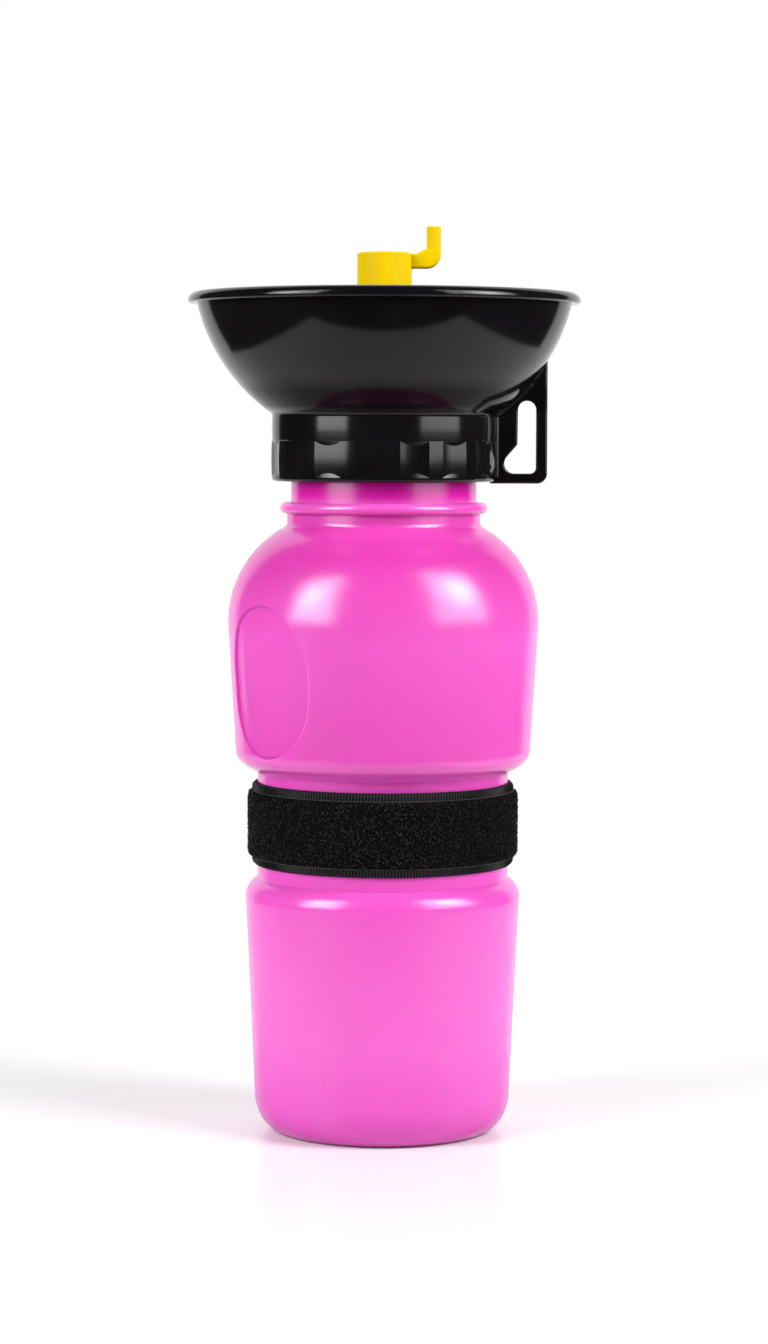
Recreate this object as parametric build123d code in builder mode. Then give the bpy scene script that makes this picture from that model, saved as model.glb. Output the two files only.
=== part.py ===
from build123d import *
import math
import os

# A squeeze-type pet drinking bottle. Squeezing the soft bottle pushes water up the dip tube and
# the hollow valve post into the bowl; letting go draws what is left back down.
# The origin is the centre of the foot on the bottle's axis, +Z is up, and the hanging lug of the
# bowl cap points along +X. All sizes are in millimetres.

os.makedirs("parts", exist_ok=True)

# ---------------------------------------------------------------- bottle
wall = 1.2
neck_wall = 1.6

foot_ring_inner_r = 24.9  # the bottle stands on a flat ring
foot_round_width = 6.8  # the rounded foot is a quarter of an ellipse, this wide and foot_rise high
foot_rise = 10.0
punt_rise = 3.4  # how far the underside is pushed up in the middle
lower_draft = 2.65  # degrees of taper of the lower body, which widens upward

lower_shoulder_r = 30.26  # centre of the arc from the lower body into the waist
lower_shoulder_z = 61.2
lower_shoulder_arc = 5.5
waist_r = 32.65

upper_foot_r = 33.4  # centre of the arc from the waist out to the upper body
upper_foot_z = 100.05
upper_foot_arc = 5.0
upper_foot_slope = 59.5  # degrees from vertical of the short flare above the waist

dome_r = 12.52  # centre of the arc of the rounded shoulder
dome_z = 133.0
dome_arc = 27.85

neck_foot_r = 25.1
neck_foot_blend = 1.5
bead_r = 26.9  # transfer bead around the neck
bead_low_z = 161.0
bead_high_z = 164.0
neck_r = 24.05
lip_z = 184.0

grip_azimuth = -141.3  # degrees, one of the two thumb recesses; the other is opposite
grip_plane_r = 33.0  # where the recess outline is drawn, square to that direction
grip_width = 28.0
grip_low_z = 101.0
grip_high_z = 135.5
grip_depth = 0.9
grip_reach = 12.0
grip_wall_lean = 22.0

# ---------------------------------------------------------------- screw thread of neck and collar
thread_pitch = 4.2
thread_turns = 0.85
neck_thread_z = 174.6  # centre line of the neck thread at its lower end
thread_root_width = 2.1
thread_crest_width = 0.9
neck_thread_crest_r = 25.7
collar_thread_crest_r = 24.45
thread_bite = 0.2  # how deep each thread's root sits in its wall

# ---------------------------------------------------------------- bowl cap
bowl_centre_r = 1.425  # the bowl is an arc turned about the axis, centred just off it
bowl_centre_z = 226.5
bowl_outer_arc = 48.4
bowl_inner_arc = 46.6
bowl_floor_z = 188.0
floor_fillet = 3.0
floor_fall = 0.3  # the floor sinks this much toward the sump

rim_r = 50.75
rim_low_z = 215.2
rim_nose_z = 216.0  # the rim is widest low down and well rounded above that
rim_top_z = 218.1
rim_round = 0.9
rim_nose = 2.5
rim_tuck = 0.9

collar_r = 29.0
fluted_r = 29.15  # the fluted lower part stands a little proud
fluted_top_z = 179.8
fluted_slope = 0.2
collar_low_z = 169.4
collar_edge = 1.0
collar_bulge = 0.08  # both bands of the collar are slightly barrel-shaped
fluted_bulge = 0.15
collar_blend = 1.3
collar_bore_r = 26.35
gasket_seat_z = 185.9

flute_count = 15
flute_pitch = 22.5  # degrees; sixteen would fit, and the lug takes the place of one
flute_first = 15.6  # azimuth of the first flute past the lug
flute_low_z = 170.6
flute_high_z = 179.75
flute_half_width = 3.8
flute_depth = 0.42
flute_runout = 1.3  # height of the sloping end of a flute
cutter_margin = 0.3  # how far the flute cutter reaches past the collar's wall and the flute's floor

sump_r = 11.0  # small well around the valve, so that the bowl drains to its last drop
sump_floor_z = 183.4
sump_wall = 1.8
sump_edge = 0.8
post_hole_r = 5.2

lug_x = 42.3
lug_low_z = 168.9
lug_root_x = 27.5
lug_thickness = 3.8
lug_corner = 2.6
lug_edge = 0.6
root_sink = 0.05  # the lug's flat sides meet the round cap this far inside its radius
cove_bite = 0.3
lug_cove = 1.0  # radius of the hollow corner where the lug grows out of the bowl and collar
slot_right_x = 39.4
slot_left_x = 34.7
slot_bend_x = 34.6
slot_lobe_x = 31.2
slot_low_z = 171.5
slot_lobe_arc = 2.6
slot_bend_z = 179.0
slot_high_z = 190.3
slot_corner = 1.5

# ---------------------------------------------------------------- valve
post_r = 5.15
post_top_z = 223.6
post_flange_r = 9.0
post_flange_low_z = 178.6
post_flange_high_z = 180.6
spigot_r = 3.3
spigot_low_z = 164.0
spigot_lead = 0.2
barb_r = 3.5
barb_z = 166.5  # widest place of the lower barb
barb_pitch = 3.5
barb_back = 0.4
post_bore_r = 2.3
post_bore_top_z = 192.4
post_core_r = 3.4
post_core_low_z = 199.0
port_r = 1.9
port_z = 189.6
snap_r = 5.45
snap_z = 205.0
snap_height = 1.2
snap_lead = 0.3
post_edge = 0.6

ring_section_r = 0.6
ring_centre_r = 4.55
ring_groove_r = 3.95
ring_groove_height = 1.5
lower_ring_z = 185.9
upper_ring_z = 194.4

sleeve_r = 7.05
sleeve_bore_r = 5.2
sleeve_low_z = 183.8
sleeve_roof_z = 224.2
sleeve_top_z = 228.7
sleeve_crown = 0.35
sleeve_edge = 0.4
snap_groove_r = 5.6
snap_groove_height = 1.6
snap_groove_lead = 0.4

lever_low_z = 224.3
lever_high_z = 228.1
lever_root_x = 5.7
lever_end_r = 14.56
lever_corner = 3.7
finger_r = 1.86
finger_top_z = 235.2
finger_edge = 0.5
gusset_rise = 1.3
lever_edge = 0.7

# ---------------------------------------------------------------- seals and dip tube
gasket_inner_r = 21.6
gasket_outer_r = 26.2
gasket_low_z = 184.1
gasket_high_z = 185.85
washer_inner_r = 5.3
tube_outer_r = 4.5
tube_low_z = 7.5
tube_high_z = 178.4
tube_cut = 35.0  # degrees of the slanting cut at the tube's foot

# ---------------------------------------------------------------- hook-and-loop strap
strap_low_z = 69.9
strap_width = 21.4
strap_inner_r = 32.8
strap_thickness = 2.4
strap_start = 82.0  # degrees; the inner end, at the back
strap_lift_off = 60.0  # where the tape starts to climb over its own inner end
strap_landed = 80.0
strap_tail_end = 132.0
strap_tail_r = 36.2
hook_low_r = 35.25
hook_high_r = 36.15
hook_margin = 1.2
hook_start = 84.0
hook_end = 130.0
stitch_length = 2.4
stitch_width = 0.6
stitch_height = 0.35
stitch_rows = (87.0, 127.0)
stitches_in_row = 6


def polar(radius, degrees):
    """A point of the XY plane at this radius and azimuth."""
    angle = math.radians(degrees)
    return (radius * math.cos(angle), radius * math.sin(angle))


def across(radius, arc, centre_r):
    """Rise from an arc's centre to where it passes this radius."""
    return math.sqrt(arc**2 - (radius - centre_r) ** 2)


def bottle_side(inset, neck, blend):
    """Add the bottle's side to the open outline, from the foot ring to the foot of the neck."""
    waist = waist_r - inset
    lower_arc = lower_shoulder_arc - inset
    waist_turn = math.degrees(math.acos((waist - lower_shoulder_r) / lower_arc))
    lower_shoulder = CenterArc(
        (lower_shoulder_r, lower_shoulder_z), lower_arc, -lower_draft, lower_draft + waist_turn
    )

    # the foot's ellipse is placed so that it runs straight on into the tapered lower body
    taper = math.tan(math.radians(lower_draft))
    round_width = foot_round_width - inset
    round_rise = foot_rise - inset
    foot_turn = math.atan(taper * round_rise / round_width)
    foot_end_z = foot_rise - round_rise * math.sin(foot_turn)
    foot_end_r = (lower_shoulder @ 0).X - taper * ((lower_shoulder @ 0).Y - foot_end_z)
    foot = EllipticalCenterArc(
        (foot_end_r - round_width * math.cos(foot_turn), foot_rise),
        round_width,
        round_rise,
        start_angle=270,
        arc_size=90 - math.degrees(foot_turn),
    )
    Line((foot_ring_inner_r, inset), foot @ 0)
    Line(foot @ 1, lower_shoulder @ 0)

    slope = math.radians(upper_foot_slope)
    upper_arc = upper_foot_arc - inset
    flare_r = upper_foot_r + upper_arc * math.cos(slope)
    flare_z = upper_foot_z - upper_arc * math.sin(slope)
    waist_top_z = flare_z - (flare_r - waist) / math.tan(slope)
    Line(lower_shoulder @ 1, (waist, waist_top_z))
    Line((waist, waist_top_z), (flare_r, flare_z))
    # the upper body is the straight line that touches both the arc at its foot and the dome
    aside = upper_foot_r - dome_r
    above = dome_z - upper_foot_z
    upper_draft = math.atan2(above, aside)
    upper_draft -= math.acos((dome_arc - upper_foot_arc) / math.hypot(aside, above))
    upper_draft = math.degrees(upper_draft)
    upper_foot = CenterArc(
        (upper_foot_r, upper_foot_z),
        upper_arc,
        -upper_foot_slope,
        upper_foot_slope - upper_draft,
    )

    dome = dome_arc - inset
    reach = neck + blend - dome_r
    rise = math.sqrt((dome + blend) ** 2 - reach**2)
    dome_turn = math.degrees(math.atan2(rise, reach))
    shoulder = CenterArc((dome_r, dome_z), dome, -upper_draft, upper_draft + dome_turn)
    Line(upper_foot @ 1, shoulder @ 0)
    return TangentArc(shoulder @ 1, (neck, dome_z + rise), tangent=shoulder % 1)


def is_arc_of(edge, radius):
    """Whether this edge is a circular arc of this radius."""
    return edge.geom_type == GeomType.CIRCLE and math.isclose(edge.radius, radius)


def thread_section(root_r, crest_r, low_z):
    """Add the outline of one thread tooth, centred on low_z."""
    half_root = thread_root_width / 2
    half_crest = thread_crest_width / 2
    Polyline(
        (root_r, low_z - half_root),
        (crest_r, low_z - half_crest),
        (crest_r, low_z + half_crest),
        (root_r, low_z + half_root),
        close=True,
    )


# ================================================================ thumb recesses (cutters only)
def grip_pads(inset):
    """A pair of pads, grip_depth thick, lying under the bottle's side moved in by inset."""
    with BuildPart() as pads:
        for azimuth in (grip_azimuth, grip_azimuth + 180):
            outward = Vector(*polar(1, azimuth), 0)
            sideways = Vector(*polar(1, azimuth + 90), 0)
            middle = outward * grip_plane_r + Vector(0, 0, (grip_low_z + grip_high_z) / 2)
            with BuildSketch(Plane(origin=middle, x_dir=sideways, z_dir=outward)):
                SlotOverall(grip_high_z - grip_low_z, grip_width, rotation=90)
            extrude(amount=grip_reach, taper=-grip_wall_lean)
        with BuildSketch(Plane.XZ):
            with BuildLine():
                core = bottle_side(inset + grip_depth, neck_foot_r, neck_foot_blend)
                foot_z = inset + grip_depth
                Polyline(core @ 1, (0, (core @ 1).Y), (0, foot_z), (foot_ring_inner_r, foot_z))
            make_face()
        revolve(axis=Axis.Z, mode=Mode.SUBTRACT)
    return pads.part


with BuildPart() as bottle_inside:
    with BuildSketch(Plane.XZ):
        with BuildLine():
            TangentArc((0, punt_rise + wall), (foot_ring_inner_r, wall), tangent=(1, 0))
            inner_side = bottle_side(wall, neck_r - neck_wall, neck_foot_blend + wall)
            Polyline(
                inner_side @ 1,
                (neck_r - neck_wall, lip_z),
                (0, lip_z),
                (0, punt_rise + wall),
            )
        make_face()
    revolve(axis=Axis.Z)
    add(grip_pads(wall), mode=Mode.SUBTRACT)


# ================================================================ bottle
bead_nose = (bead_high_z - bead_low_z) / 2

with BuildPart() as bottle:
    with BuildSketch(Plane.XZ):
        with BuildLine():
            TangentArc((0, punt_rise), (foot_ring_inner_r, 0), tangent=(1, 0))
            side = bottle_side(0, neck_foot_r, neck_foot_blend)
            Polyline(side @ 1, (neck_foot_r, bead_low_z), (bead_r - bead_nose, bead_low_z))
            ThreePointArc(
                (bead_r - bead_nose, bead_low_z),
                (bead_r, bead_low_z + bead_nose),
                (bead_r - bead_nose, bead_high_z),
            )
            Polyline(
                (bead_r - bead_nose, bead_high_z),
                (neck_r, bead_high_z),
                (neck_r, lip_z),
                (0, lip_z),
                (0, punt_rise),
            )
        make_face()
    revolve(axis=Axis.Z)

    add(grip_pads(0), mode=Mode.SUBTRACT)
    add(bottle_inside.part, mode=Mode.SUBTRACT)

    with BuildLine() as neck_helix:
        Helix(thread_pitch, thread_pitch * thread_turns, neck_r, center=(0, 0, neck_thread_z))
    with BuildSketch(Plane.XZ):
        with BuildLine():
            thread_section(neck_r - thread_bite, neck_thread_crest_r, neck_thread_z)
        make_face()
    sweep(path=neck_helix.wires()[0], is_frenet=True)

bottle.part.label = "bottle"
export_step(bottle.part, "parts/bottle.step")


# ================================================================ hanging lug (joined to the cap)
slot_round_r = (slot_right_x - slot_left_x) / 2
slot_middle_x = slot_right_x - slot_round_r
lobe_x = slot_lobe_x + slot_lobe_arc
lobe_z = slot_low_z + slot_lobe_arc
bowl_mid_arc = (bowl_outer_arc + bowl_inner_arc) / 2

with BuildPart() as lug:
    with BuildSketch(Plane.XZ):
        with BuildLine():
            tip_drop = across(lug_x, bowl_mid_arc, bowl_centre_r)
            root_drop = across(lug_root_x, bowl_mid_arc, bowl_centre_r)
            lug_tip = (lug_x, bowl_centre_z - tip_drop)
            lug_root = (lug_root_x, bowl_centre_z - root_drop)
            RadiusArc(lug_tip, lug_root, bowl_mid_arc)
            Polyline(lug_root, (lug_root_x, lug_low_z), (lug_x, lug_low_z), lug_tip)
        lug_face = make_face()
        lug_outer_corner = lug_face.vertices().sort_by(Axis.X)[-2:].sort_by(Axis.Y)[0]
        fillet(lug_outer_corner, lug_corner)
    extrude(amount=lug_thickness / 2, both=True)
    with BuildSketch(Plane.XZ):
        with BuildLine():
            slot_top = ThreePointArc(
                (slot_right_x, slot_high_z - slot_round_r),
                (slot_middle_x, slot_high_z),
                (slot_left_x, slot_high_z - slot_round_r),
            )
            slot_side = Line(slot_top @ 1, (slot_bend_x, slot_bend_z))
            lobe = CenterArc((lobe_x, lobe_z), slot_lobe_arc, 135, 135)
            Line(slot_side @ 1, lobe @ 0)
            Polyline(lobe @ 1, (slot_right_x, slot_low_z), slot_top @ 0)
        slot_face = make_face()
        slot_low_corner = slot_face.vertices().group_by(Axis.Y)[0].sort_by(Axis.X)[-1]
        fillet(slot_low_corner, slot_corner)
    extrude(amount=lug_thickness, both=True, mode=Mode.SUBTRACT)
    # round every free edge of the two flat sides, but not those that end inside the bowl and collar
    free_edges = lug.faces().filter_by(Axis.Y).edges()
    free_edges = free_edges.filter_by(lambda edge: edge.center().X > lug_root_x + lug_edge)
    free_edges = free_edges.filter_by(lambda edge: not is_arc_of(edge, bowl_mid_arc))
    fillet(free_edges, lug_edge)


# ================================================================ one flute of the collar (cutter)
# a wide drum standing outside the collar makes the flute concave; it is slightly waisted, like the
# collar is barrel-shaped, and two cones about the collar's axis end it
chord_rise = fluted_r - math.sqrt(fluted_r**2 - flute_half_width**2)
hollow = flute_depth - chord_rise
drum_r = (flute_half_width**2 + hollow**2) / (2 * hollow)
floor_r = fluted_r - flute_depth
drum_centre_r = floor_r + drum_r
runout_slope = flute_runout / flute_depth
cutter_inner_r = floor_r - cutter_margin
cutter_outer_r = fluted_r + fluted_bulge + cutter_margin
inner_runout = runout_slope * (fluted_r - cutter_inner_r)
outer_runout = runout_slope * (cutter_outer_r - fluted_r)

with BuildPart() as flute:
    with BuildSketch(Plane.XZ):
        with BuildLine():
            Polyline(
                (cutter_inner_r, flute_low_z + inner_runout),
                (cutter_outer_r, flute_low_z - outer_runout),
                (cutter_outer_r, flute_high_z + outer_runout),
                (cutter_inner_r, flute_high_z - inner_runout),
                close=True,
            )
        make_face()
    revolve(axis=Axis.Z)
    with BuildSketch(Plane.XZ):
        with BuildLine():
            flute_middle = (floor_r + fluted_bulge, (collar_low_z + collar_edge + fluted_top_z) / 2)
            drum_low_z = collar_low_z - cutter_margin
            drum_high_z = fluted_top_z + 2 * outer_runout
            drum_side = ThreePointArc(
                (floor_r, collar_low_z + collar_edge), flute_middle, (floor_r, fluted_top_z)
            )
            Polyline(
                drum_side @ 0,
                (floor_r, drum_low_z),
                (drum_centre_r, drum_low_z),
                (drum_centre_r, drum_high_z),
                (floor_r, drum_high_z),
                drum_side @ 1,
            )
        make_face()
    revolve(axis=Axis((drum_centre_r, 0, 0), (0, 0, 1)), mode=Mode.INTERSECT)


# ================================================================ bowl, collar and lug: one moulding
bowl_centre = (bowl_centre_r, bowl_centre_z)
blend_reach = collar_r + collar_blend - bowl_centre_r
blend_drop = across(collar_r + collar_blend, bowl_outer_arc + collar_blend, bowl_centre_r)
collar_top = (collar_r, bowl_centre_z - blend_drop)
underside_turn = math.degrees(math.atan2(blend_drop, blend_reach))
rim_turn = math.degrees(math.asin((bowl_centre_z - rim_low_z) / bowl_outer_arc))
inner_rim_turn = math.degrees(math.asin((bowl_centre_z - rim_top_z + rim_round) / bowl_inner_arc))
floor_reach = across(bowl_floor_z + floor_fillet, bowl_inner_arc - floor_fillet, bowl_centre_z)
floor_drop = bowl_centre_z - bowl_floor_z - floor_fillet
floor_turn = math.degrees(math.atan2(floor_drop, floor_reach))

with BuildPart() as bowl_cap:
    with BuildSketch(Plane.XZ):
        with BuildLine():
            edge_centre = (fluted_r - collar_edge, collar_low_z + collar_edge)
            edge_round = CenterArc(edge_centre, collar_edge, 270, 90)
            fluted_middle = (fluted_r + fluted_bulge, (edge_centre[1] + fluted_top_z) / 2)
            ThreePointArc(edge_round @ 1, fluted_middle, (fluted_r, fluted_top_z))
            band_end = (collar_r, fluted_top_z + fluted_slope)
            band_middle = (collar_r + collar_bulge, (band_end[1] + collar_top[1]) / 2)
            Line((fluted_r, fluted_top_z), band_end)
            ThreePointArc(band_end, band_middle, collar_top)
            underside = CenterArc(
                bowl_centre, bowl_outer_arc, -underside_turn, underside_turn - rim_turn
            )
            TangentArc(collar_top, underside @ 0, tangent=(0, 1))
            tuck = EllipticalCenterArc(
                (rim_r - rim_tuck, rim_nose_z),
                rim_tuck,
                rim_nose_z - rim_low_z,
                start_angle=270,
                arc_size=90,
            )
            nose = EllipticalCenterArc(
                (rim_r - rim_nose, rim_nose_z),
                rim_nose,
                rim_top_z - rim_nose_z,
                start_angle=0,
                arc_size=90,
            )
            Line(underside @ 1, tuck @ 0)
            inside = CenterArc(
                bowl_centre, bowl_inner_arc, -inner_rim_turn, inner_rim_turn - floor_turn
            )
            rim_inner = ((inside @ 0).X + rim_round, rim_top_z)
            Line(nose @ 1, rim_inner)
            TangentArc(rim_inner, inside @ 0, tangent=(-1, 0))
            floor_start = (bowl_centre_r + floor_reach, bowl_floor_z)
            TangentArc(inside @ 1, floor_start, tangent=inside % 1)
            Polyline(
                floor_start,
                (sump_r + sump_edge, bowl_floor_z - floor_fall),
                (sump_r, bowl_floor_z - floor_fall - sump_edge),
                (sump_r, sump_floor_z + sump_edge),
                (sump_r - sump_edge, sump_floor_z),
                (post_hole_r, sump_floor_z),
                (post_hole_r, sump_floor_z - sump_wall),
                (sump_r + sump_wall, sump_floor_z - sump_wall),
                (sump_r + sump_wall, gasket_seat_z),
                (collar_bore_r, gasket_seat_z),
                (collar_bore_r, collar_low_z + collar_edge),
                (collar_bore_r + collar_edge / 2, collar_low_z),
                edge_round @ 0,
            )
        make_face()
    revolve(axis=Axis.Z)

    with PolarLocations(0, flute_count, flute_first, flute_pitch * flute_count):
        add(flute.part, mode=Mode.SUBTRACT)
    add(lug.part)

    # a hollow corner along the lug's root, on both sides of the lug
    with BuildLine(Plane.XZ.offset(lug_thickness / 2)) as root_line:
        root_turn = math.degrees(math.acos((lug_x - lug_cove - bowl_centre_r) / bowl_outer_arc))
        bowl_root = CenterArc(
            (bowl_centre_r - root_sink, bowl_centre_z),
            bowl_outer_arc,
            -root_turn,
            root_turn - underside_turn,
        )
        blend_end = (collar_r - root_sink, collar_top[1])
        TangentArc(bowl_root @ 1, blend_end, tangent=bowl_root % 1)
        Line(blend_end, (collar_r - root_sink, flute_low_z))
    root_wire = root_line.wires()[0]
    with BuildSketch(Plane(origin=root_wire @ 0, z_dir=root_wire % 0, x_dir=(0, -1, 0))):
        with BuildLine():
            middle = lug_cove * math.sqrt(0.5)
            Polyline(
                (0, -lug_cove),
                (-cove_bite, -lug_cove),
                (-cove_bite, cove_bite),
                (lug_cove, cove_bite),
                (lug_cove, 0),
            )
            ThreePointArc((lug_cove, 0), (lug_cove - middle, middle - lug_cove), (0, -lug_cove))
        make_face()
    one_cove = sweep(path=root_wire)
    mirror(one_cove, about=Plane.XZ)

    collar_thread_z = neck_thread_z - thread_pitch / 2
    with BuildLine() as collar_helix:
        Helix(
            thread_pitch,
            thread_pitch * thread_turns,
            collar_bore_r,
            center=(0, 0, collar_thread_z),
        )
    with BuildSketch(Plane.XZ):
        with BuildLine():
            thread_section(collar_bore_r + thread_bite, collar_thread_crest_r, collar_thread_z)
        make_face()
    sweep(path=collar_helix.wires()[0], is_frenet=True)

bowl_cap.part.label = "bowl_cap"
export_step(bowl_cap.part, "parts/bowl_cap.step")


# ================================================================ valve post: fixed hollow stem
with BuildPart() as valve_post:
    with BuildSketch(Plane.XZ):
        with BuildLine():
            outline = [(post_bore_r, spigot_low_z), (spigot_r - spigot_lead, spigot_low_z)]
            for widest_z in (barb_z, barb_z + barb_pitch):
                outline += [(barb_r, widest_z), (spigot_r, widest_z + barb_back)]
            outline += [
                (spigot_r, post_flange_low_z),
                (post_flange_r, post_flange_low_z),
                (post_flange_r, post_flange_high_z),
                (post_r, post_flange_high_z),
            ]
            for ring_z in (lower_ring_z, upper_ring_z):
                outline += [
                    (post_r, ring_z - ring_groove_height / 2),
                    (ring_groove_r, ring_z - ring_groove_height / 2),
                    (ring_groove_r, ring_z + ring_groove_height / 2),
                    (post_r, ring_z + ring_groove_height / 2),
                ]
            outline += [
                (post_r, snap_z - snap_height / 2 - snap_lead),
                (snap_r, snap_z - snap_height / 2),
                (snap_r, snap_z + snap_height / 4),
                (post_r, snap_z + snap_height / 2 + snap_lead),
                (post_r, post_top_z - post_edge),
                (post_r - post_edge, post_top_z),
                (post_core_r, post_top_z),
                (post_core_r, post_core_low_z),
                (0, post_core_low_z),
                (0, post_bore_top_z),
                (post_bore_r, post_bore_top_z),
                outline[0],
            ]
            Polyline(*outline)
        make_face()
    revolve(axis=Axis.Z)
    with BuildSketch(Plane.YZ):
        with Locations((0, port_z)):
            Circle(port_r)
    extrude(amount=2 * post_r, both=True, mode=Mode.SUBTRACT)

valve_post.part.label = "valve_post"
export_step(valve_post.part, "parts/valve_post.step")


# ================================================================ valve sleeve with its lever
with BuildPart() as valve_sleeve:
    with BuildSketch(Plane.XZ):
        with BuildLine():
            Polyline(
                (0, sleeve_roof_z),
                (sleeve_bore_r, sleeve_roof_z),
                (sleeve_bore_r, snap_z + snap_groove_height / 2 + snap_groove_lead),
                (snap_groove_r, snap_z + snap_groove_height / 2),
                (snap_groove_r, snap_z - snap_groove_height / 2),
                (sleeve_bore_r, snap_z - snap_groove_height / 2 - snap_groove_lead),
                (sleeve_bore_r, sleeve_low_z + sleeve_edge),
                (sleeve_bore_r + sleeve_edge, sleeve_low_z),
                (sleeve_r, sleeve_low_z),
                (sleeve_r, sleeve_top_z - sleeve_crown - sleeve_edge),
            )
            crown_edge = (sleeve_r - sleeve_edge, sleeve_top_z - sleeve_crown)
            crown = TangentArc((0, sleeve_top_z), crown_edge, tangent=(1, 0))
            Line(crown @ 1, (sleeve_r, sleeve_top_z - sleeve_crown - sleeve_edge))
            Line((0, sleeve_top_z), (0, sleeve_roof_z))
        make_face()
    revolve(axis=Axis.Z)
    with BuildSketch(Plane.XZ):
        with Locations((0, port_z)):
            Circle(port_r)
    extrude(amount=2 * sleeve_r, both=True, mode=Mode.SUBTRACT)

    # the lever: a flat arm that turns up into a round finger
    finger_x = lever_end_r - finger_r
    finger_inner_x = finger_x - finger_r
    corner_x = lever_end_r - lever_corner
    corner_z = lever_low_z + lever_corner
    with BuildSketch(Plane.XZ):
        with BuildLine():
            Polyline(
                (finger_x, lever_high_z + gusset_rise),
                (finger_inner_x, lever_high_z + gusset_rise),
                (finger_inner_x - 2 * gusset_rise, lever_high_z),
                (lever_root_x, lever_high_z),
                (lever_root_x, lever_low_z),
                (corner_x, lever_low_z),
            )
            CenterArc((corner_x, corner_z), lever_corner, 270, 90)
            Polyline(
                (lever_end_r, corner_z),
                (lever_end_r, lever_high_z + gusset_rise),
                (finger_x, lever_high_z + gusset_rise),
            )
        make_face()
    arm = extrude(amount=finger_r, both=True, mode=Mode.PRIVATE)
    arm_edges = arm.faces().filter_by(Axis.Y).edges().sort_by(Axis.X)[1:]
    add(arm.fillet(lever_edge, arm_edges))
    with BuildSketch(Plane.XY.offset(corner_z)):
        with Locations((finger_x, 0)):
            Circle(finger_r)
    extrude(amount=finger_top_z - corner_z)
    fillet(valve_sleeve.faces().sort_by(Axis.Z)[-1].edges(), finger_edge)

valve_sleeve.part.label = "valve_sleeve"
export_step(valve_sleeve.part, "parts/valve_sleeve.step")


# ================================================================ seals
def ring_of(inner_r, outer_r, low_z, high_z):
    """Add the outline of a flat ring's section."""
    Polyline((inner_r, low_z), (outer_r, low_z), (outer_r, high_z), (inner_r, high_z), close=True)


with BuildPart() as cap_gasket:
    with BuildSketch(Plane.XZ):
        with BuildLine():
            ring_of(gasket_inner_r, gasket_outer_r, gasket_low_z, gasket_high_z)
        make_face()
    revolve(axis=Axis.Z)

cap_gasket.part.label = "cap_gasket"
export_step(cap_gasket.part, "parts/cap_gasket.step")

with BuildPart() as post_washer:
    with BuildSketch(Plane.XZ):
        with BuildLine():
            ring_of(washer_inner_r, post_flange_r, post_flange_high_z, sump_floor_z - sump_wall)
        make_face()
    revolve(axis=Axis.Z)

post_washer.part.label = "post_washer"
export_step(post_washer.part, "parts/post_washer.step")

for name, ring_z in (("lower_o_ring", lower_ring_z), ("upper_o_ring", upper_ring_z)):
    with BuildPart() as o_ring:
        with BuildSketch(Plane.XZ):
            with Locations((ring_centre_r, ring_z)):
                Circle(ring_section_r)
        revolve(axis=Axis.Z)
    o_ring.part.label = name
    export_step(o_ring.part, f"parts/{name}.step")


# ================================================================ dip tube, cut on the slant
with BuildPart() as dip_tube:
    with BuildSketch(Plane.XY.offset(tube_low_z)):
        Circle(tube_outer_r)
        Circle(spigot_r, mode=Mode.SUBTRACT)
    extrude(amount=tube_high_z - tube_low_z)
    lean = math.radians(tube_cut)
    split(
        bisect_by=Plane(
            origin=(tube_outer_r, 0, tube_low_z), z_dir=(math.sin(lean), 0, math.cos(lean))
        )
    )

dip_tube.part.label = "dip_tube"
export_step(dip_tube.part, "parts/dip_tube.step")


# ================================================================ hook-and-loop strap
with BuildPart() as strap_loop_tape:
    with BuildSketch(Plane.XY.offset(strap_low_z)):
        with BuildLine():
            strap_outer_r = strap_inner_r + strap_thickness
            tail_outer_r = strap_tail_r + strap_thickness
            first_turn = strap_lift_off + 360 - strap_start
            tail_turn = strap_tail_end - strap_landed
            CenterArc((0, 0), strap_inner_r, strap_start, first_turn)
            Line(polar(strap_inner_r, strap_lift_off), polar(strap_tail_r, strap_landed))
            CenterArc((0, 0), strap_tail_r, strap_landed, tail_turn)
            Line(polar(strap_tail_r, strap_tail_end), polar(tail_outer_r, strap_tail_end))
            CenterArc((0, 0), tail_outer_r, strap_landed, tail_turn)
            Line(polar(tail_outer_r, strap_landed), polar(strap_outer_r, strap_lift_off))
            CenterArc((0, 0), strap_outer_r, strap_start, first_turn)
            Line(polar(strap_outer_r, strap_start), polar(strap_inner_r, strap_start))
        make_face()
    extrude(amount=strap_width)

strap_loop_tape.part.label = "strap_loop_tape"
export_step(strap_loop_tape.part, "parts/strap_loop_tape.step")

with BuildPart() as strap_hook_patch:
    with BuildSketch(Plane.XY.offset(strap_low_z + hook_margin)):
        with BuildLine():
            CenterArc((0, 0), hook_low_r, hook_start, hook_end - hook_start)
            CenterArc((0, 0), hook_high_r, hook_start, hook_end - hook_start)
            for azimuth in (hook_start, hook_end):
                Line(polar(hook_low_r, azimuth), polar(hook_high_r, azimuth))
        make_face()
    extrude(amount=strap_width - 2 * hook_margin)

strap_hook_patch.part.label = "strap_hook_patch"
export_step(strap_hook_patch.part, "parts/strap_hook_patch.step")

with BuildPart() as strap_stitching:
    stitch_pitch = (strap_width - 2 * hook_margin) / stitches_in_row
    for azimuth in stitch_rows:
        outward = Vector(*polar(1, azimuth), 0)
        sideways = Vector(*polar(1, azimuth + 90), 0)
        row_origin = outward * tail_outer_r + Vector(0, 0, strap_low_z + strap_width / 2)
        with BuildSketch(Plane(origin=row_origin, x_dir=sideways, z_dir=outward)):
            with GridLocations(0, stitch_pitch, 1, stitches_in_row):
                SlotOverall(stitch_length, stitch_width, rotation=90)
        extrude(amount=stitch_height)

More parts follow.
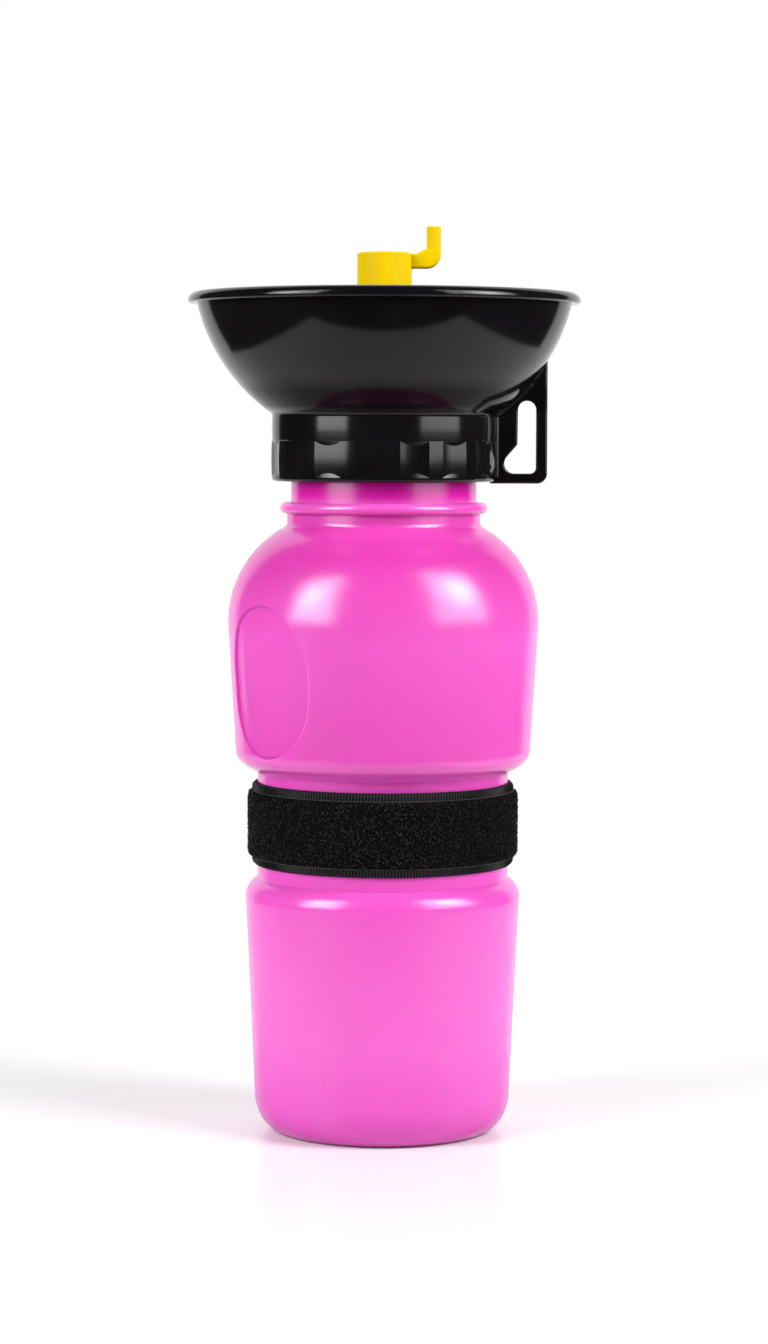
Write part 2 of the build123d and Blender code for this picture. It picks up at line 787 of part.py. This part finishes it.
strap_stitching.part.label = "strap_stitching"
export_step(strap_stitching.part, "parts/strap_stitching.step")
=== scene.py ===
"""A squeeze bottle capped with a drinking bowl, on a white table between two softboxes."""

import math
import random

import bpy
from mathutils import Matrix, Vector, noise


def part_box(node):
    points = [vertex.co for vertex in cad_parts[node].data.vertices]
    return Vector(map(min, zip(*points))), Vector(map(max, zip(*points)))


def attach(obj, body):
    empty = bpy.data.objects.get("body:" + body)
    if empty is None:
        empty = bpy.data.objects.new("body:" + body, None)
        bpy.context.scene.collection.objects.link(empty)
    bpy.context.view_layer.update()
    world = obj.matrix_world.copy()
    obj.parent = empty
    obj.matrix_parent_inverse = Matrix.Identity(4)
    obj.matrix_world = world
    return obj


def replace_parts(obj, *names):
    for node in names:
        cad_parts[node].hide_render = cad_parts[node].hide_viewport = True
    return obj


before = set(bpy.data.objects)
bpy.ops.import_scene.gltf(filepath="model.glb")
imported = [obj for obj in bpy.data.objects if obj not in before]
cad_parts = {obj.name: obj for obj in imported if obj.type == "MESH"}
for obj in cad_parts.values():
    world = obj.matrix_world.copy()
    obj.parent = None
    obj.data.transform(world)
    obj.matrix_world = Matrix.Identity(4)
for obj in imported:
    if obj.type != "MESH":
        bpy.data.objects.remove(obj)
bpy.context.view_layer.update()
scene = bpy.context.scene
MM = 0.001


# ---------------------------------------------------------------- camera
CAMERA_BACK = 0.910  # from the bottle's axis
CAMERA_HEIGHT = 0.1813
CAMERA_DOWN = 3.87  # degrees below level
CAMERA_ROLL = 0.2
CAMERA_LENS = 93.75


def make_camera():
    """A camera straight in front of the bottle, looking a little down."""
    camera = bpy.data.objects.new("camera", bpy.data.cameras.new("camera"))
    scene.collection.objects.link(camera)
    camera.location = (0, -CAMERA_BACK, CAMERA_HEIGHT)
    camera.rotation_euler = (math.radians(90 - CAMERA_DOWN), math.radians(-CAMERA_ROLL), 0)
    camera.data.lens = CAMERA_LENS
    camera.data.sensor_width = 36
    camera.data.clip_start = 0.05
    camera.data.clip_end = 50
    scene.camera = camera


# ---------------------------------------------------------------- lights, table and backdrop
TABLE_FRONT = -0.245
TABLE_BACK = 0.42
TABLE_FRONT_LEFT = -0.265
TABLE_FRONT_RIGHT = 0.295
TABLE_BACK_LEFT = -0.40
TABLE_BACK_RIGHT = 0.43
BACKDROP_LEFT = -0.43
BACKDROP_RIGHT = 0.445
BACKDROP_HEIGHT = 1.1
BACKDROP_GLOW = 1.03  # radiance, where white paper shows as 1
SURROUNDINGS = 0.03
TABLE_WHITE = 0.87
TABLE_ROUGHNESS = 0.22
TABLE_IOR = 1.36
TABLE_GLOSS = 0.4
TABLE_GLOSS_NEAR = 0.03  # the gloss fades out between these distances from the bottle's axis
TABLE_GLOSS_FAR = 0.17
SOFTBOX_LOW_Z = 0.168
SOFTBOX_HIGH_Z = 0.98
HOT_REACH = 0.42  # a lamp's bright middle fades out at this share of its width and height


def add_nodes(tree, *kinds):
    """Shader nodes of the given kinds, followed by the tree's links."""
    return [tree.nodes.new("ShaderNode" + kind) for kind in kinds] + [tree.links]


def area_light(name, low_left, low_right, high_z, glow, hot=1.0):
    """An upright rectangle of light, standing from low_left to low_right.

    It shines to the right of that way. hot is how many times brighter its middle is than its edge.
    """
    low_left, low_right = Vector(low_left), Vector(low_right)
    along = low_right - low_left
    width, height = along.length, high_z - low_left.z
    across = -along.normalized()
    up = Vector((0, 0, 1))
    light = bpy.data.lights.new(name, "AREA")
    light.shape = "RECTANGLE"
    light.size = width
    light.size_y = height
    light.energy = glow * math.pi * width * height
    light.use_nodes = True
    emission = light.node_tree.nodes["Emission"]
    surface, offset, fade, links = add_nodes(
        light.node_tree, "NewGeometry", "VectorMath", "MapRange"
    )
    offset.operation = "DISTANCE"
    offset.inputs[1].default_value = (0.5, 0.5, 0)  # the lamp's middle
    fade.interpolation_type = "SMOOTHERSTEP"
    fade.inputs["From Max"].default_value = HOT_REACH
    fade.inputs["To Min"].default_value = hot
    links.new(surface.outputs["Parametric"], offset.inputs[0])
    links.new(offset.outputs["Value"], fade.inputs["Value"])
    links.new(fade.outputs["Result"], emission.inputs["Strength"])
    lamp = bpy.data.objects.new(name, light)
    scene.collection.objects.link(lamp)
    place = Matrix((across, up, across.cross(up))).transposed().to_4x4()
    place.translation = low_left + along / 2 + up * height / 2
    lamp.matrix_world = place


def make_lights():
    """Two upright softboxes, left and right of the camera, and a glowing backdrop."""
    area_light(
        "softbox_left",
        (-0.435, -0.57, SOFTBOX_LOW_Z),
        (-1.043, -0.36, SOFTBOX_LOW_Z),
        SOFTBOX_HIGH_Z,
        glow=8.6,
        hot=2.2,
    )
    area_light(
        "softbox_right",
        (0.890, -0.13, SOFTBOX_LOW_Z),
        (0.371, -0.492, SOFTBOX_LOW_Z),
        SOFTBOX_HIGH_Z,
        glow=5.9,
        hot=3.7,
    )
    area_light(
        "backdrop",
        (BACKDROP_LEFT, TABLE_BACK, 0),
        (BACKDROP_RIGHT, TABLE_BACK, 0),
        BACKDROP_HEIGHT,
        glow=BACKDROP_GLOW,
    )


def make_world():
    """Dark surroundings, which the camera itself sees as plain white."""
    world = bpy.data.worlds.new("studio")
    scene.world = world
    world.use_nodes = True
    world.node_tree.nodes.clear()
    seen, dark, white, choose, out, links = add_nodes(
        world.node_tree, "LightPath", "Background", "Background", "MixShader", "OutputWorld"
    )
    dark.inputs["Color"].default_value = (SURROUNDINGS, SURROUNDINGS, SURROUNDINGS, 1)
    white.inputs["Color"].default_value = (1, 1, 1, 1)
    links.new(seen.outputs["Is Camera Ray"], choose.inputs[0])
    links.new(dark.outputs[0], choose.inputs[1])
    links.new(white.outputs[0], choose.inputs[2])
    links.new(choose.outputs[0], out.inputs[0])


def make_table():
    """A flat white table top, wider at the back, where it meets the backdrop."""
    mesh = bpy.data.meshes.new("table")
    corners = [
        (TABLE_FRONT_LEFT, TABLE_FRONT, 0),
        (TABLE_FRONT_RIGHT, TABLE_FRONT, 0),
        (TABLE_BACK_RIGHT, TABLE_BACK, 0),
        (TABLE_BACK_LEFT, TABLE_BACK, 0),
    ]
    mesh.from_pydata(corners, [], [(0, 1, 2, 3)])
    table = bpy.data.objects.new("table", mesh)
    scene.collection.objects.link(table)
    material, shader = new_material("white_acrylic")
    shader.inputs["Base Color"].default_value = (TABLE_WHITE, TABLE_WHITE, TABLE_WHITE, 1)
    shader.inputs["Roughness"].default_value = TABLE_ROUGHNESS
    shader.inputs["IOR"].default_value = TABLE_IOR
    distance = axis_distance(material)
    ends = (TABLE_GLOSS_NEAR, TABLE_GLOSS_FAR)
    vary(material, distance, shader.inputs["Specular IOR Level"], TABLE_GLOSS, 0.0, ends)
    mesh.materials.append(material)


# ---------------------------------------------------------------- materials
NOISE_ENDS = (0.3, 0.7)  # nearly all of a noise pattern lies between these


def new_material(name):
    """A material and its shader."""
    material = bpy.data.materials.new(name)
    material.use_nodes = True
    return material, material.node_tree.nodes["Principled BSDF"]


def grain(material, scale, detail=2.0, stretch=(1, 1, 1)):
    """Noise over the piece's own coordinates, where scale is the size of a grain in metres."""
    place, size, pattern, links = add_nodes(material.node_tree, "TexCoord", "Mapping", "TexNoise")
    size.inputs["Scale"].default_value = [share / scale for share in stretch]
    pattern.inputs["Scale"].default_value = 1.0
    pattern.inputs["Detail"].default_value = detail
    links.new(place.outputs["Object"], size.inputs["Vector"])
    links.new(size.outputs["Vector"], pattern.inputs["Vector"])
    return pattern.outputs["Fac"]


def spread(material, value, ends, low=0.0, high=1.0):
    """A value taken from between two ends to between low and high."""
    node, links = add_nodes(material.node_tree, "MapRange")
    node.inputs["From Min"].default_value = ends[0]
    node.inputs["From Max"].default_value = ends[1]
    node.inputs["To Min"].default_value = low
    node.inputs["To Max"].default_value = high
    links.new(value, node.inputs["Value"])
    return node.outputs["Result"]


def vary(material, pattern, socket, low, high, ends=NOISE_ENDS):
    """Let a pattern drive a number of the shader: low at its first end and high at its second."""
    material.node_tree.links.new(spread(material, pattern, ends, low, high), socket)


def tint(material, pattern, socket, stops):
    """Let a pattern drive a colour of the shader, or a number by greys, at (position, colour)."""
    ramp, links = add_nodes(material.node_tree, "ValToRGB")
    elements = ramp.color_ramp.elements
    while len(elements) < len(stops):
        elements.new(0.5)
    for element, (position, colour) in zip(elements, stops):
        element.position = position
        element.color = (*colour, 1)
    links.new(pattern, ramp.inputs["Fac"])
    links.new(ramp.outputs["Color"], socket)


def dent(material, shader, pattern, height):
    """Press a pattern into the surface, height metres deep."""
    bump, links = add_nodes(material.node_tree, "Bump")
    bump.inputs["Distance"].default_value = height
    links.new(pattern, bump.inputs["Height"])
    links.new(bump.outputs["Normal"], shader.inputs["Normal"])


def height_share(material, low, high):
    """How far up a point lies between two heights, from 0 to 1."""
    place, split, links = add_nodes(material.node_tree, "TexCoord", "SeparateXYZ")
    links.new(place.outputs["Object"], split.inputs["Vector"])
    return spread(material, split.outputs["Z"], (low, high))


def axis_distance(material):
    """How far a point of the table lies from the bottle's axis."""
    place, distance, links = add_nodes(material.node_tree, "TexCoord", "VectorMath")
    distance.operation = "LENGTH"
    links.new(place.outputs["Object"], distance.inputs[0])
    return distance.outputs["Value"]


def ribs(material, pitch, radius):
    """Fine upright ribs round the bottle's axis, as a wave from -1 to 1, used to paint shade
    between ribs and light on them.
    """
    place, split, turn, count, wave, links = add_nodes(
        material.node_tree, "TexCoord", "SeparateXYZ", "Math", "Math", "Math"
    )
    turn.operation = "ARCTAN2"
    count.operation = "MULTIPLY"
    count.inputs[1].default_value = 2 * math.pi * radius / pitch
    wave.operation = "SINE"
    links.new(place.outputs["Object"], split.inputs["Vector"])
    links.new(split.outputs["Y"], turn.inputs[0])
    links.new(split.outputs["X"], turn.inputs[1])
    links.new(turn.outputs["Value"], count.inputs[0])
    links.new(count.outputs["Value"], wave.inputs[0])
    return wave.outputs["Value"]


def bottle_plastic():
    """Translucent pink polyethylene with a satin skin. Its pink steps by height: the darker foot,
    waist, shoulder top and neck are painted shade, partly also thicker plastic, and the lighter
    bead is painted light.
    """
    material, shader = new_material("pink_polyethylene")
    foot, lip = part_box("bottle")
    # Painted light and shade by height: darker stops at the foot, above the waist, at the shoulder
    # top and on the neck under the collar, lighter ones on the body and the bead.
    stops = [  # from the foot up; all the rest of the neck has the last colour
        (0.00, (0.53, 0.026, 0.36)),
        (0.06, (0.65, 0.066, 0.46)),
        (0.14, (0.70, 0.096, 0.50)),
        (0.42, (0.69, 0.085, 0.47)),
        (0.54, (0.645, 0.077, 0.43)),
        (0.70, (0.71, 0.103, 0.50)),
        (0.82, (0.58, 0.040, 0.355)),
        (0.872, (0.62, 0.060, 0.40)),
        (0.890, (0.66, 0.098, 0.46)),
        (0.900, (0.63, 0.007, 0.37)),
    ]
    tint(material, height_share(material, foot[2], lip[2]), shader.inputs["Base Color"], stops)
    vary(material, grain(material, 0.012), shader.inputs["Roughness"], 0.21, 0.25)
    dent(material, shader, grain(material, 0.0012), 0.000004)
    shader.inputs["IOR"].default_value = 1.5
    shader.inputs["Specular IOR Level"].default_value = 0.65
    shader.inputs["Subsurface Weight"].default_value = 1.0
    shader.inputs["Subsurface Radius"].default_value = (1.0, 0.45, 0.85)
    shader.inputs["Subsurface Scale"].default_value = 0.002
    return material


def cap_plastic():
    """Glossy black moulded plastic: the collar is duller, and so is the bowl just above it."""
    material, shader = new_material("black_gloss_plastic")
    low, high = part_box("bowl_cap")
    flow = grain(material, 0.02, detail=4.0, stretch=(1, 1, 2))
    tint(
        material,
        flow,
        shader.inputs["Base Color"],
        [(0.35, (0.0025, 0.0022, 0.0025)), (0.65, (0.0045, 0.004, 0.0045))],
    )
    height = height_share(material, low[2], high[2])
    vary(material, height, shader.inputs["Roughness"], 0.145, 0.12, ends=(0.36, 0.42))
    gloss = [(0.37, 0.25), (0.40, 0.06), (0.48, 0.08), (0.55, 0.25)]  # by height
    tint(
        material,
        height,
        shader.inputs["Specular IOR Level"],
        [(share, (level, level, level)) for share, level in gloss],
    )
    dent(material, shader, grain(material, 0.004), 0.000003)
    shader.inputs["IOR"].default_value = 1.5
    return material


def valve_plastic():
    """Yellow moulded plastic, a little milky."""
    material, shader = new_material("yellow_plastic")
    tint(
        material,
        grain(material, 0.006),
        shader.inputs["Base Color"],
        [(0.3, (0.60, 0.42, 0.001)), (0.7, (0.65, 0.45, 0.001))],
    )
    vary(material, grain(material, 0.003), shader.inputs["Roughness"], 0.42, 0.5)
    dent(material, shader, grain(material, 0.0015), 0.000003)
    shader.inputs["Specular IOR Level"].default_value = 0.04
    shader.inputs["Subsurface Weight"].default_value = 0.3
    shader.inputs["Subsurface Radius"].default_value = (1.0, 0.7, 0.1)
    shader.inputs["Subsurface Scale"].default_value = 0.001
    return material


def seal_rubber():
    """Matt black rubber with a dusty bloom."""
    material, shader = new_material("black_rubber")
    tint(
        material,
        grain(material, 0.001),
        shader.inputs["Base Color"],
        [(0.3, (0.012, 0.012, 0.012)), (0.7, (0.03, 0.03, 0.03))],
    )
    vary(material, grain(material, 0.002), shader.inputs["Roughness"], 0.45, 0.65)
    return material


def seal_silicone():
    """Milky white silicone."""
    material, shader = new_material("silicone")
    tint(
        material,
        grain(material, 0.004),
        shader.inputs["Base Color"],
        [(0.3, (0.72, 0.72, 0.70)), (0.7, (0.82, 0.82, 0.79))],
    )
    vary(material, grain(material, 0.002), shader.inputs["Roughness"], 0.35, 0.5)
    shader.inputs["Subsurface Weight"].default_value = 0.6
    shader.inputs["Subsurface Scale"].default_value = 0.002
    return material


def tube_plastic():
    """Natural polyethylene tube, with the fine lengthwise lines of its die."""
    material, shader = new_material("natural_polyethylene")
    lines = grain(material, 0.0008, stretch=(1, 1, 0.01))
    tint(
        material,
        lines,
        shader.inputs["Base Color"],
        [(0.3, (0.74, 0.75, 0.74)), (0.7, (0.84, 0.85, 0.84))],
    )
    vary(material, lines, shader.inputs["Roughness"], 0.25, 0.4)
    dent(material, shader, lines, 0.00001)
    shader.inputs["Subsurface Weight"].default_value = 0.7
    shader.inputs["Subsurface Scale"].default_value = 0.002
    return material


def black_nylon(name, dark, light, grain_size):
    """Matt black nylon yarn, speckled from dark to light by its own fibres."""
    material, shader = new_material(name)
    speckle = grain(material, grain_size, detail=3.0)
    tint(
        material,
        speckle,
        shader.inputs["Base Color"],
        [(0.42, (dark, dark * 0.95, dark)), (0.62, (light, light * 0.97, light))],
    )
    vary(material, speckle, shader.inputs["Roughness"], 0.6, 0.8)
    shader.inputs["Specular IOR Level"].default_value = 0.03
    return material


def woven_nylon():
    """The tape's woven ground: ribbed along both bare edges, with painted shade between the ribs
    and painted light on them, and nearly black under the pile.
    """
    material, shader = new_material("black_woven_nylon")
    edge = SELVEDGE / TAPE_WIDTH
    zones, links = add_nodes(material.node_tree, "Mix")
    zones.data_type = "RGBA"
    tint(
        material,
        height_share(material, TAPE_LOW[2], TAPE_HIGH[2]),
        zones.inputs["Factor"],
        [
            (edge, (1, 1, 1)),
            (edge + EDGE_BLEND, (0, 0, 0)),
            (1 - edge - EDGE_BLEND, (0, 0, 0)),
            (1 - edge, (1, 1, 1)),
        ],
    )
    zones.inputs["A"].default_value = (0.0025, 0.0024, 0.0025, 1)
    # The bare edges: painted shade between the ribs and painted light on their crests.
    tint(
        material,
        ribs(material, RIB_PITCH, PILE_R),
        zones.inputs["B"],
        [(0.1, (0.006, 0.0058, 0.006)), (0.8, (0.034, 0.033, 0.034))],
    )
    links.new(zones.outputs["Result"], shader.inputs["Base Color"])
    vary(material, grain(material, 0.5 * MM), shader.inputs["Roughness"], 0.6, 0.8)
    shader.inputs["Specular IOR Level"].default_value = 0.03
    return material


def paint(node, material):
    """Give a CAD node one material."""
    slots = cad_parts[node].data.materials
    slots.clear()
    slots.append(material)


# ---------------------------------------------------------------- hook-and-loop strap
# The tape starts at the back, goes once round the bottle's waist and climbs over its own start.
TAPE_LOW, TAPE_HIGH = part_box("strap_loop_tape")
TAPE_WIDTH = TAPE_HIGH[2] - TAPE_LOW[2]
TAPE_START = 82  # degrees round the bottle from +X
TAPE_LIFT_OFF = 420  # where it starts to climb
TAPE_LANDED = 440  # where it has climbed
TAPE_END = 492
PILE_R = TAPE_HIGH[0]  # outside of the first turn
PILE_THICKNESS = 2.4 * MM  # woven back and pile together
WOVEN_THICKNESS = 1.15 * MM
TAIL_LIFT = 3.4 * MM  # how much further out the tail lies
SELVEDGE = 2.1 * MM  # width of the bare woven edge
SELVEDGE_STEPS = 4
SELVEDGE_THIN = 0.45  # share of the woven thickness at the very edge
SELVEDGE_SLOPE = 1.6  # how fast it gets thicker across the selvedge
RIB_SLOPE = 3  # how fast the ribs rise across the selvedge
PILE_STEPS = 26
PILE_ROUND = 1.6 * MM  # the pile is rounded off over this width
PILE_GRAIN = 0.55 * MM
PILE_ROUGH = 0.28 * MM
RIB_PITCH = 0.85 * MM
RIB_HEIGHT = 0.16 * MM
EDGE_BLEND = 0.01  # share of the width over which the ribbed colour ends
TAPE_STEP = 0.2 * MM
FIBRES = 9000
FIBRE_R = 0.075 * MM
FIBRE_CLEAR = 0.4 * MM  # distance kept from the selvedge
FIBRE_SUNK = 0.3 * MM  # depth of a loop's feet in the pile
FIBRE_HALF_WIDTHS = (0.2, 0.42)  # mm
FIBRE_RISES = (0.2, 0.55)  # mm
FIBRE_LEANS = (-0.2, 0.2)  # mm
FIBRE_LINE = (-1, -0.4, 0.4, 1)  # shares of its half width
FIBRE_SIDES = 3
EDGE_THREAD_R = 0.12 * MM
THREAD_WAVE_OUT = 0.5  # this and the next are in thread radii
THREAD_WAVE_UP = 0.3

HOOK_LOW, HOOK_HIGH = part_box("strap_hook_patch")
HOOK_START = 84
HOOK_END = 130
HOOK_BACK_R = 35.85 * MM
HOOK_OUTER_R = 36.15 * MM
HOOK_TIP_R = 35.25 * MM
HOOK_PITCH = 1.3 * MM
HOOK_STEM_R = 0.14 * MM
HOOK_BEND = 0.35 * MM
HOOK_LINE = ((0, 0), (0.7, 0), (1, 0.6), (0.6, 1))  # shares of its reach and of its bend
HOOK_SIDES = 4


def inner_radius(azimuth):
    """Radius of the tape's inner face; it rises smoothly where the tape climbs over its start."""
    share = (azimuth - TAPE_LIFT_OFF) / (TAPE_LANDED - TAPE_LIFT_OFF)
    share = min(max(share, 0), 1)
    return PILE_R - PILE_THICKNESS + TAIL_LIFT * share * share * (3 - 2 * share)


def tape_line(step):
    """(distance, azimuth, inner radius) at equal steps along the middle of the tape."""
    line = []
    azimuth = TAPE_START
    while azimuth < TAPE_END:
        radius = inner_radius(azimuth)
        line.append((len(line) * step, azimuth, radius))
        azimuth += math.degrees(step / (radius + PILE_THICKNESS / 2))
    return line


def on_tape(azimuth, radius, z):
    """A point by its azimuth in degrees, its distance from the bottle's axis and its height."""
    angle = math.radians(azimuth)
    return Vector((radius * math.cos(angle), radius * math.sin(angle), z))


def pile_crown(inside):
    """Share of the pile's full height at a distance inside its edge."""
    return math.sqrt(1 - (1 - min(1, inside / PILE_ROUND)) ** 2)


def tape_section(distance):
    """Outline of the tape at one place, as (height over its inner face, z)."""
    rib = RIB_HEIGHT * math.sin(2 * math.pi * distance / RIB_PITCH)
    low, high = TAPE_LOW[2], TAPE_HIGH[2]
    outline = []
    for step in range(SELVEDGE_STEPS + 1):
        share = step / SELVEDGE_STEPS
        woven = WOVEN_THICKNESS * min(1, SELVEDGE_THIN + SELVEDGE_SLOPE * share)
        outline.append((woven + rib * min(1, RIB_SLOPE * share), low + SELVEDGE * share))
    pile_low, pile_width = low + SELVEDGE, TAPE_WIDTH - 2 * SELVEDGE
    for step in range(1, PILE_STEPS):
        z = pile_low + pile_width * step / PILE_STEPS
        crown = pile_crown(min(z - pile_low, pile_low + pile_width - z))
        rough = noise.noise(Vector((distance, z, 0)) / PILE_GRAIN)
        body = (PILE_THICKNESS - WOVEN_THICKNESS - PILE_ROUGH) * crown
        outline.append((WOVEN_THICKNESS + body + PILE_ROUGH * crown * rough, z))
    for height, z in reversed(outline[: SELVEDGE_STEPS + 1]):
        outline.append((height, low + high - z))
    return outline + [(0, high), (0, low)]


def new_piece(name, vertices, faces, material, slot):
    """A smooth mesh piece of the strap, which goes with the bottle."""
    mesh = bpy.data.meshes.new(name)
    mesh.from_pydata(vertices, [], faces)
    mesh.polygons.foreach_set("use_smooth", [True] * len(mesh.polygons))
    mesh.materials.append(material)
    piece = bpy.data.objects.new(name, mesh)
    scene.collection.objects.link(piece)
    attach(piece, "bottle")
    return piece


def skin(rings):
    """Faces that join equal rings of vertices end to end and close both ends."""
    count, size = len(rings), len(rings[0])
    vertices = [point for ring in rings for point in ring]
    faces = [tuple(reversed(range(size)))]
    for ring in range(count - 1):
        for corner in range(size):
            beside = (corner + 1) % size
            this, following = ring * size, (ring + 1) * size
            faces.append((this + corner, this + beside, following + beside, following + corner))
    faces.append(tuple(range((count - 1) * size, count * size)))
    return vertices, faces


def tube(points, radius, sides, outward):
    """Rings of a thin tube along a few points, for skin()."""
    rings = []
    for place, point in enumerate(points):
        ahead = points[min(place + 1, len(points) - 1)] - points[max(place - 1, 0)]
        across = ahead.cross(outward).normalized()
        upward = across.cross(ahead).normalized()
        rings.append(
            [
                point
                + radius * math.cos(2 * math.pi * side / sides) * across
                + radius * math.sin(2 * math.pi * side / sides) * upward
                for side in range(sides)
            ]
        )
    return rings


def join(parts):
    """One mesh from several (vertices, faces)."""
    vertices, faces = [], []
    for part_vertices, part_faces in parts:
        start = len(vertices)
        vertices += part_vertices
        faces += [tuple(start + corner for corner in face) for face in part_faces]
    return vertices, faces


def make_tape(material):
    """The tape itself: its woven ground and the body of its pile in one closed mesh."""
    rings = []
    for distance, azimuth, radius in tape_line(TAPE_STEP):
        outline = tape_section(distance)
        rings.append([on_tape(azimuth, radius + height, z) for height, z in outline])
    return new_piece("loop_tape", *skin(rings), material, "loop_tape")


def make_pile(material):
    """Short nylon loops that stand out of the pile wherever it is in the open."""
    random.seed(11)
    loops = []
    margin = SELVEDGE + FIBRE_CLEAR
    for _ in range(FIBRES):
        azimuth = random.uniform(TAPE_END - 360, TAPE_END)
        z = random.uniform(TAPE_LOW[2] + margin, TAPE_HIGH[2] - margin)
        crown = pile_crown(min(z - TAPE_LOW[2], TAPE_HIGH[2] - z) - SELVEDGE)
        height = WOVEN_THICKNESS + (PILE_THICKNESS - WOVEN_THICKNESS) * crown - FIBRE_SUNK
        foot = on_tape(azimuth, inner_radius(azimuth) + height, z)
        outward = on_tape(azimuth, 1, 0)
        turn = random.uniform(0, math.pi)
        along = on_tape(azimuth + 90, 1, 0) * math.cos(turn) + Vector((0, 0, math.sin(turn)))
        half_width = random.uniform(*FIBRE_HALF_WIDTHS) * MM
        rise = random.uniform(*FIBRE_RISES) * MM
        lean = random.uniform(*FIBRE_LEANS) * MM * along.cross(outward)
        points = [
            foot + along * half_width * share + (outward * rise + lean) * (1 - share * share)
            for share in FIBRE_LINE
        ]
        loops.append(skin(tube(points, FIBRE_R, FIBRE_SIDES, outward)))
    return new_piece("loop_tape_pile", *join(loops), material, "loop_tape")


def make_edge_threads(material):
    """The locking thread along each edge of the pile."""
    threads = []
    line = tape_line(2 * TAPE_STEP)
    upward = Vector((0, 0, 1))
    half_side = 0.7 * EDGE_THREAD_R  # of the square that stands for its round section
    for z in (TAPE_LOW[2] + SELVEDGE, TAPE_HIGH[2] - SELVEDGE):
        rings = []
        for distance, azimuth, radius in line:
            wave = math.sin(2 * math.pi * distance / RIB_PITCH)
            out = radius + WOVEN_THICKNESS + EDGE_THREAD_R * (1 + THREAD_WAVE_OUT * wave)
            centre = on_tape(azimuth, out, z + THREAD_WAVE_UP * EDGE_THREAD_R * wave)
            outward = on_tape(azimuth, 1, 0)
            corners = (outward + upward, upward - outward, -upward - outward, outward - upward)
            rings.append([centre + half_side * corner for corner in corners])
        threads.append(skin(rings))
    return new_piece("loop_tape_edge_threads", *join(threads), material, "loop_tape")


def make_hook_patch(material):
    """The hook tape under the tail: a thin back with rows of small bent hooks on its inner side."""
    rings = []
    for azimuth in range(HOOK_START, HOOK_END + 1):
        rings.append(
            [
                on_tape(azimuth, HOOK_BACK_R, HOOK_LOW[2]),
                on_tape(azimuth, HOOK_OUTER_R, HOOK_LOW[2]),
                on_tape(azimuth, HOOK_OUTER_R, HOOK_HIGH[2]),
                on_tape(azimuth, HOOK_BACK_R, HOOK_HIGH[2]),
            ]
        )
    parts = [skin(rings)]
    reach = HOOK_BACK_R - HOOK_TIP_R - HOOK_STEM_R
    columns = int(math.radians(HOOK_END - HOOK_START) * HOOK_BACK_R / HOOK_PITCH)
    rows = int((HOOK_HIGH[2] - HOOK_LOW[2]) / HOOK_PITCH)
    for column in range(columns):
        azimuth = HOOK_START + (column + 0.5) * (HOOK_END - HOOK_START) / columns
        inward = -on_tape(azimuth, 1, 0)
        for row in range(rows):
            z = HOOK_LOW[2] + (row + 0.5) * HOOK_PITCH
            foot = on_tape(azimuth, HOOK_BACK_R, z)
            bend = Vector((0, 0, HOOK_BEND if row % 2 else -HOOK_BEND))
            points = [foot + inward * reach * far + bend * side for far, side in HOOK_LINE]
            parts.append(skin(tube(points, HOOK_STEM_R, HOOK_SIDES, on_tape(azimuth + 90, 1, 0))))
    return new_piece("hook_tape", *join(parts), material, "hook_tape")


def make_strap():
    """The strap's pieces, which replace its two CAD tapes. Its stitching stays a CAD node."""
    woven = woven_nylon()
    pile = black_nylon("black_nylon_loops", dark=0.004, light=0.05, grain_size=0.5 * MM)
    thread = black_nylon("grey_black_thread", dark=0.03, light=0.07, grain_size=0.4 * MM)
    hooks = black_nylon("black_nylon_hooks", dark=0.010, light=0.03, grain_size=0.8 * MM)
    tape = make_tape(woven)
    loops = make_pile(pile)
    threads = make_edge_threads(thread)
    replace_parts(tape, "strap_loop_tape")
    length = tape_line(TAPE_STEP)[-1][0]
    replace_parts(make_hook_patch(hooks), "strap_hook_patch")
    paint("strap_stitching", thread)


# ---------------------------------------------------------------- the making
make_camera()
make_world()
make_lights()
make_table()

paint("bottle", bottle_plastic())
paint("bowl_cap", cap_plastic())
yellow = valve_plastic()
paint("valve_sleeve", yellow)
paint("valve_post", yellow)
rubber = seal_rubber()
paint("lower_o_ring", rubber)
paint("upper_o_ring", rubber)
silicone = seal_silicone()
paint("cap_gasket", silicone)
paint("post_washer", silicone)
paint("dip_tube", tube_plastic())
make_strap()

scene.view_settings.view_transform = "Standard"
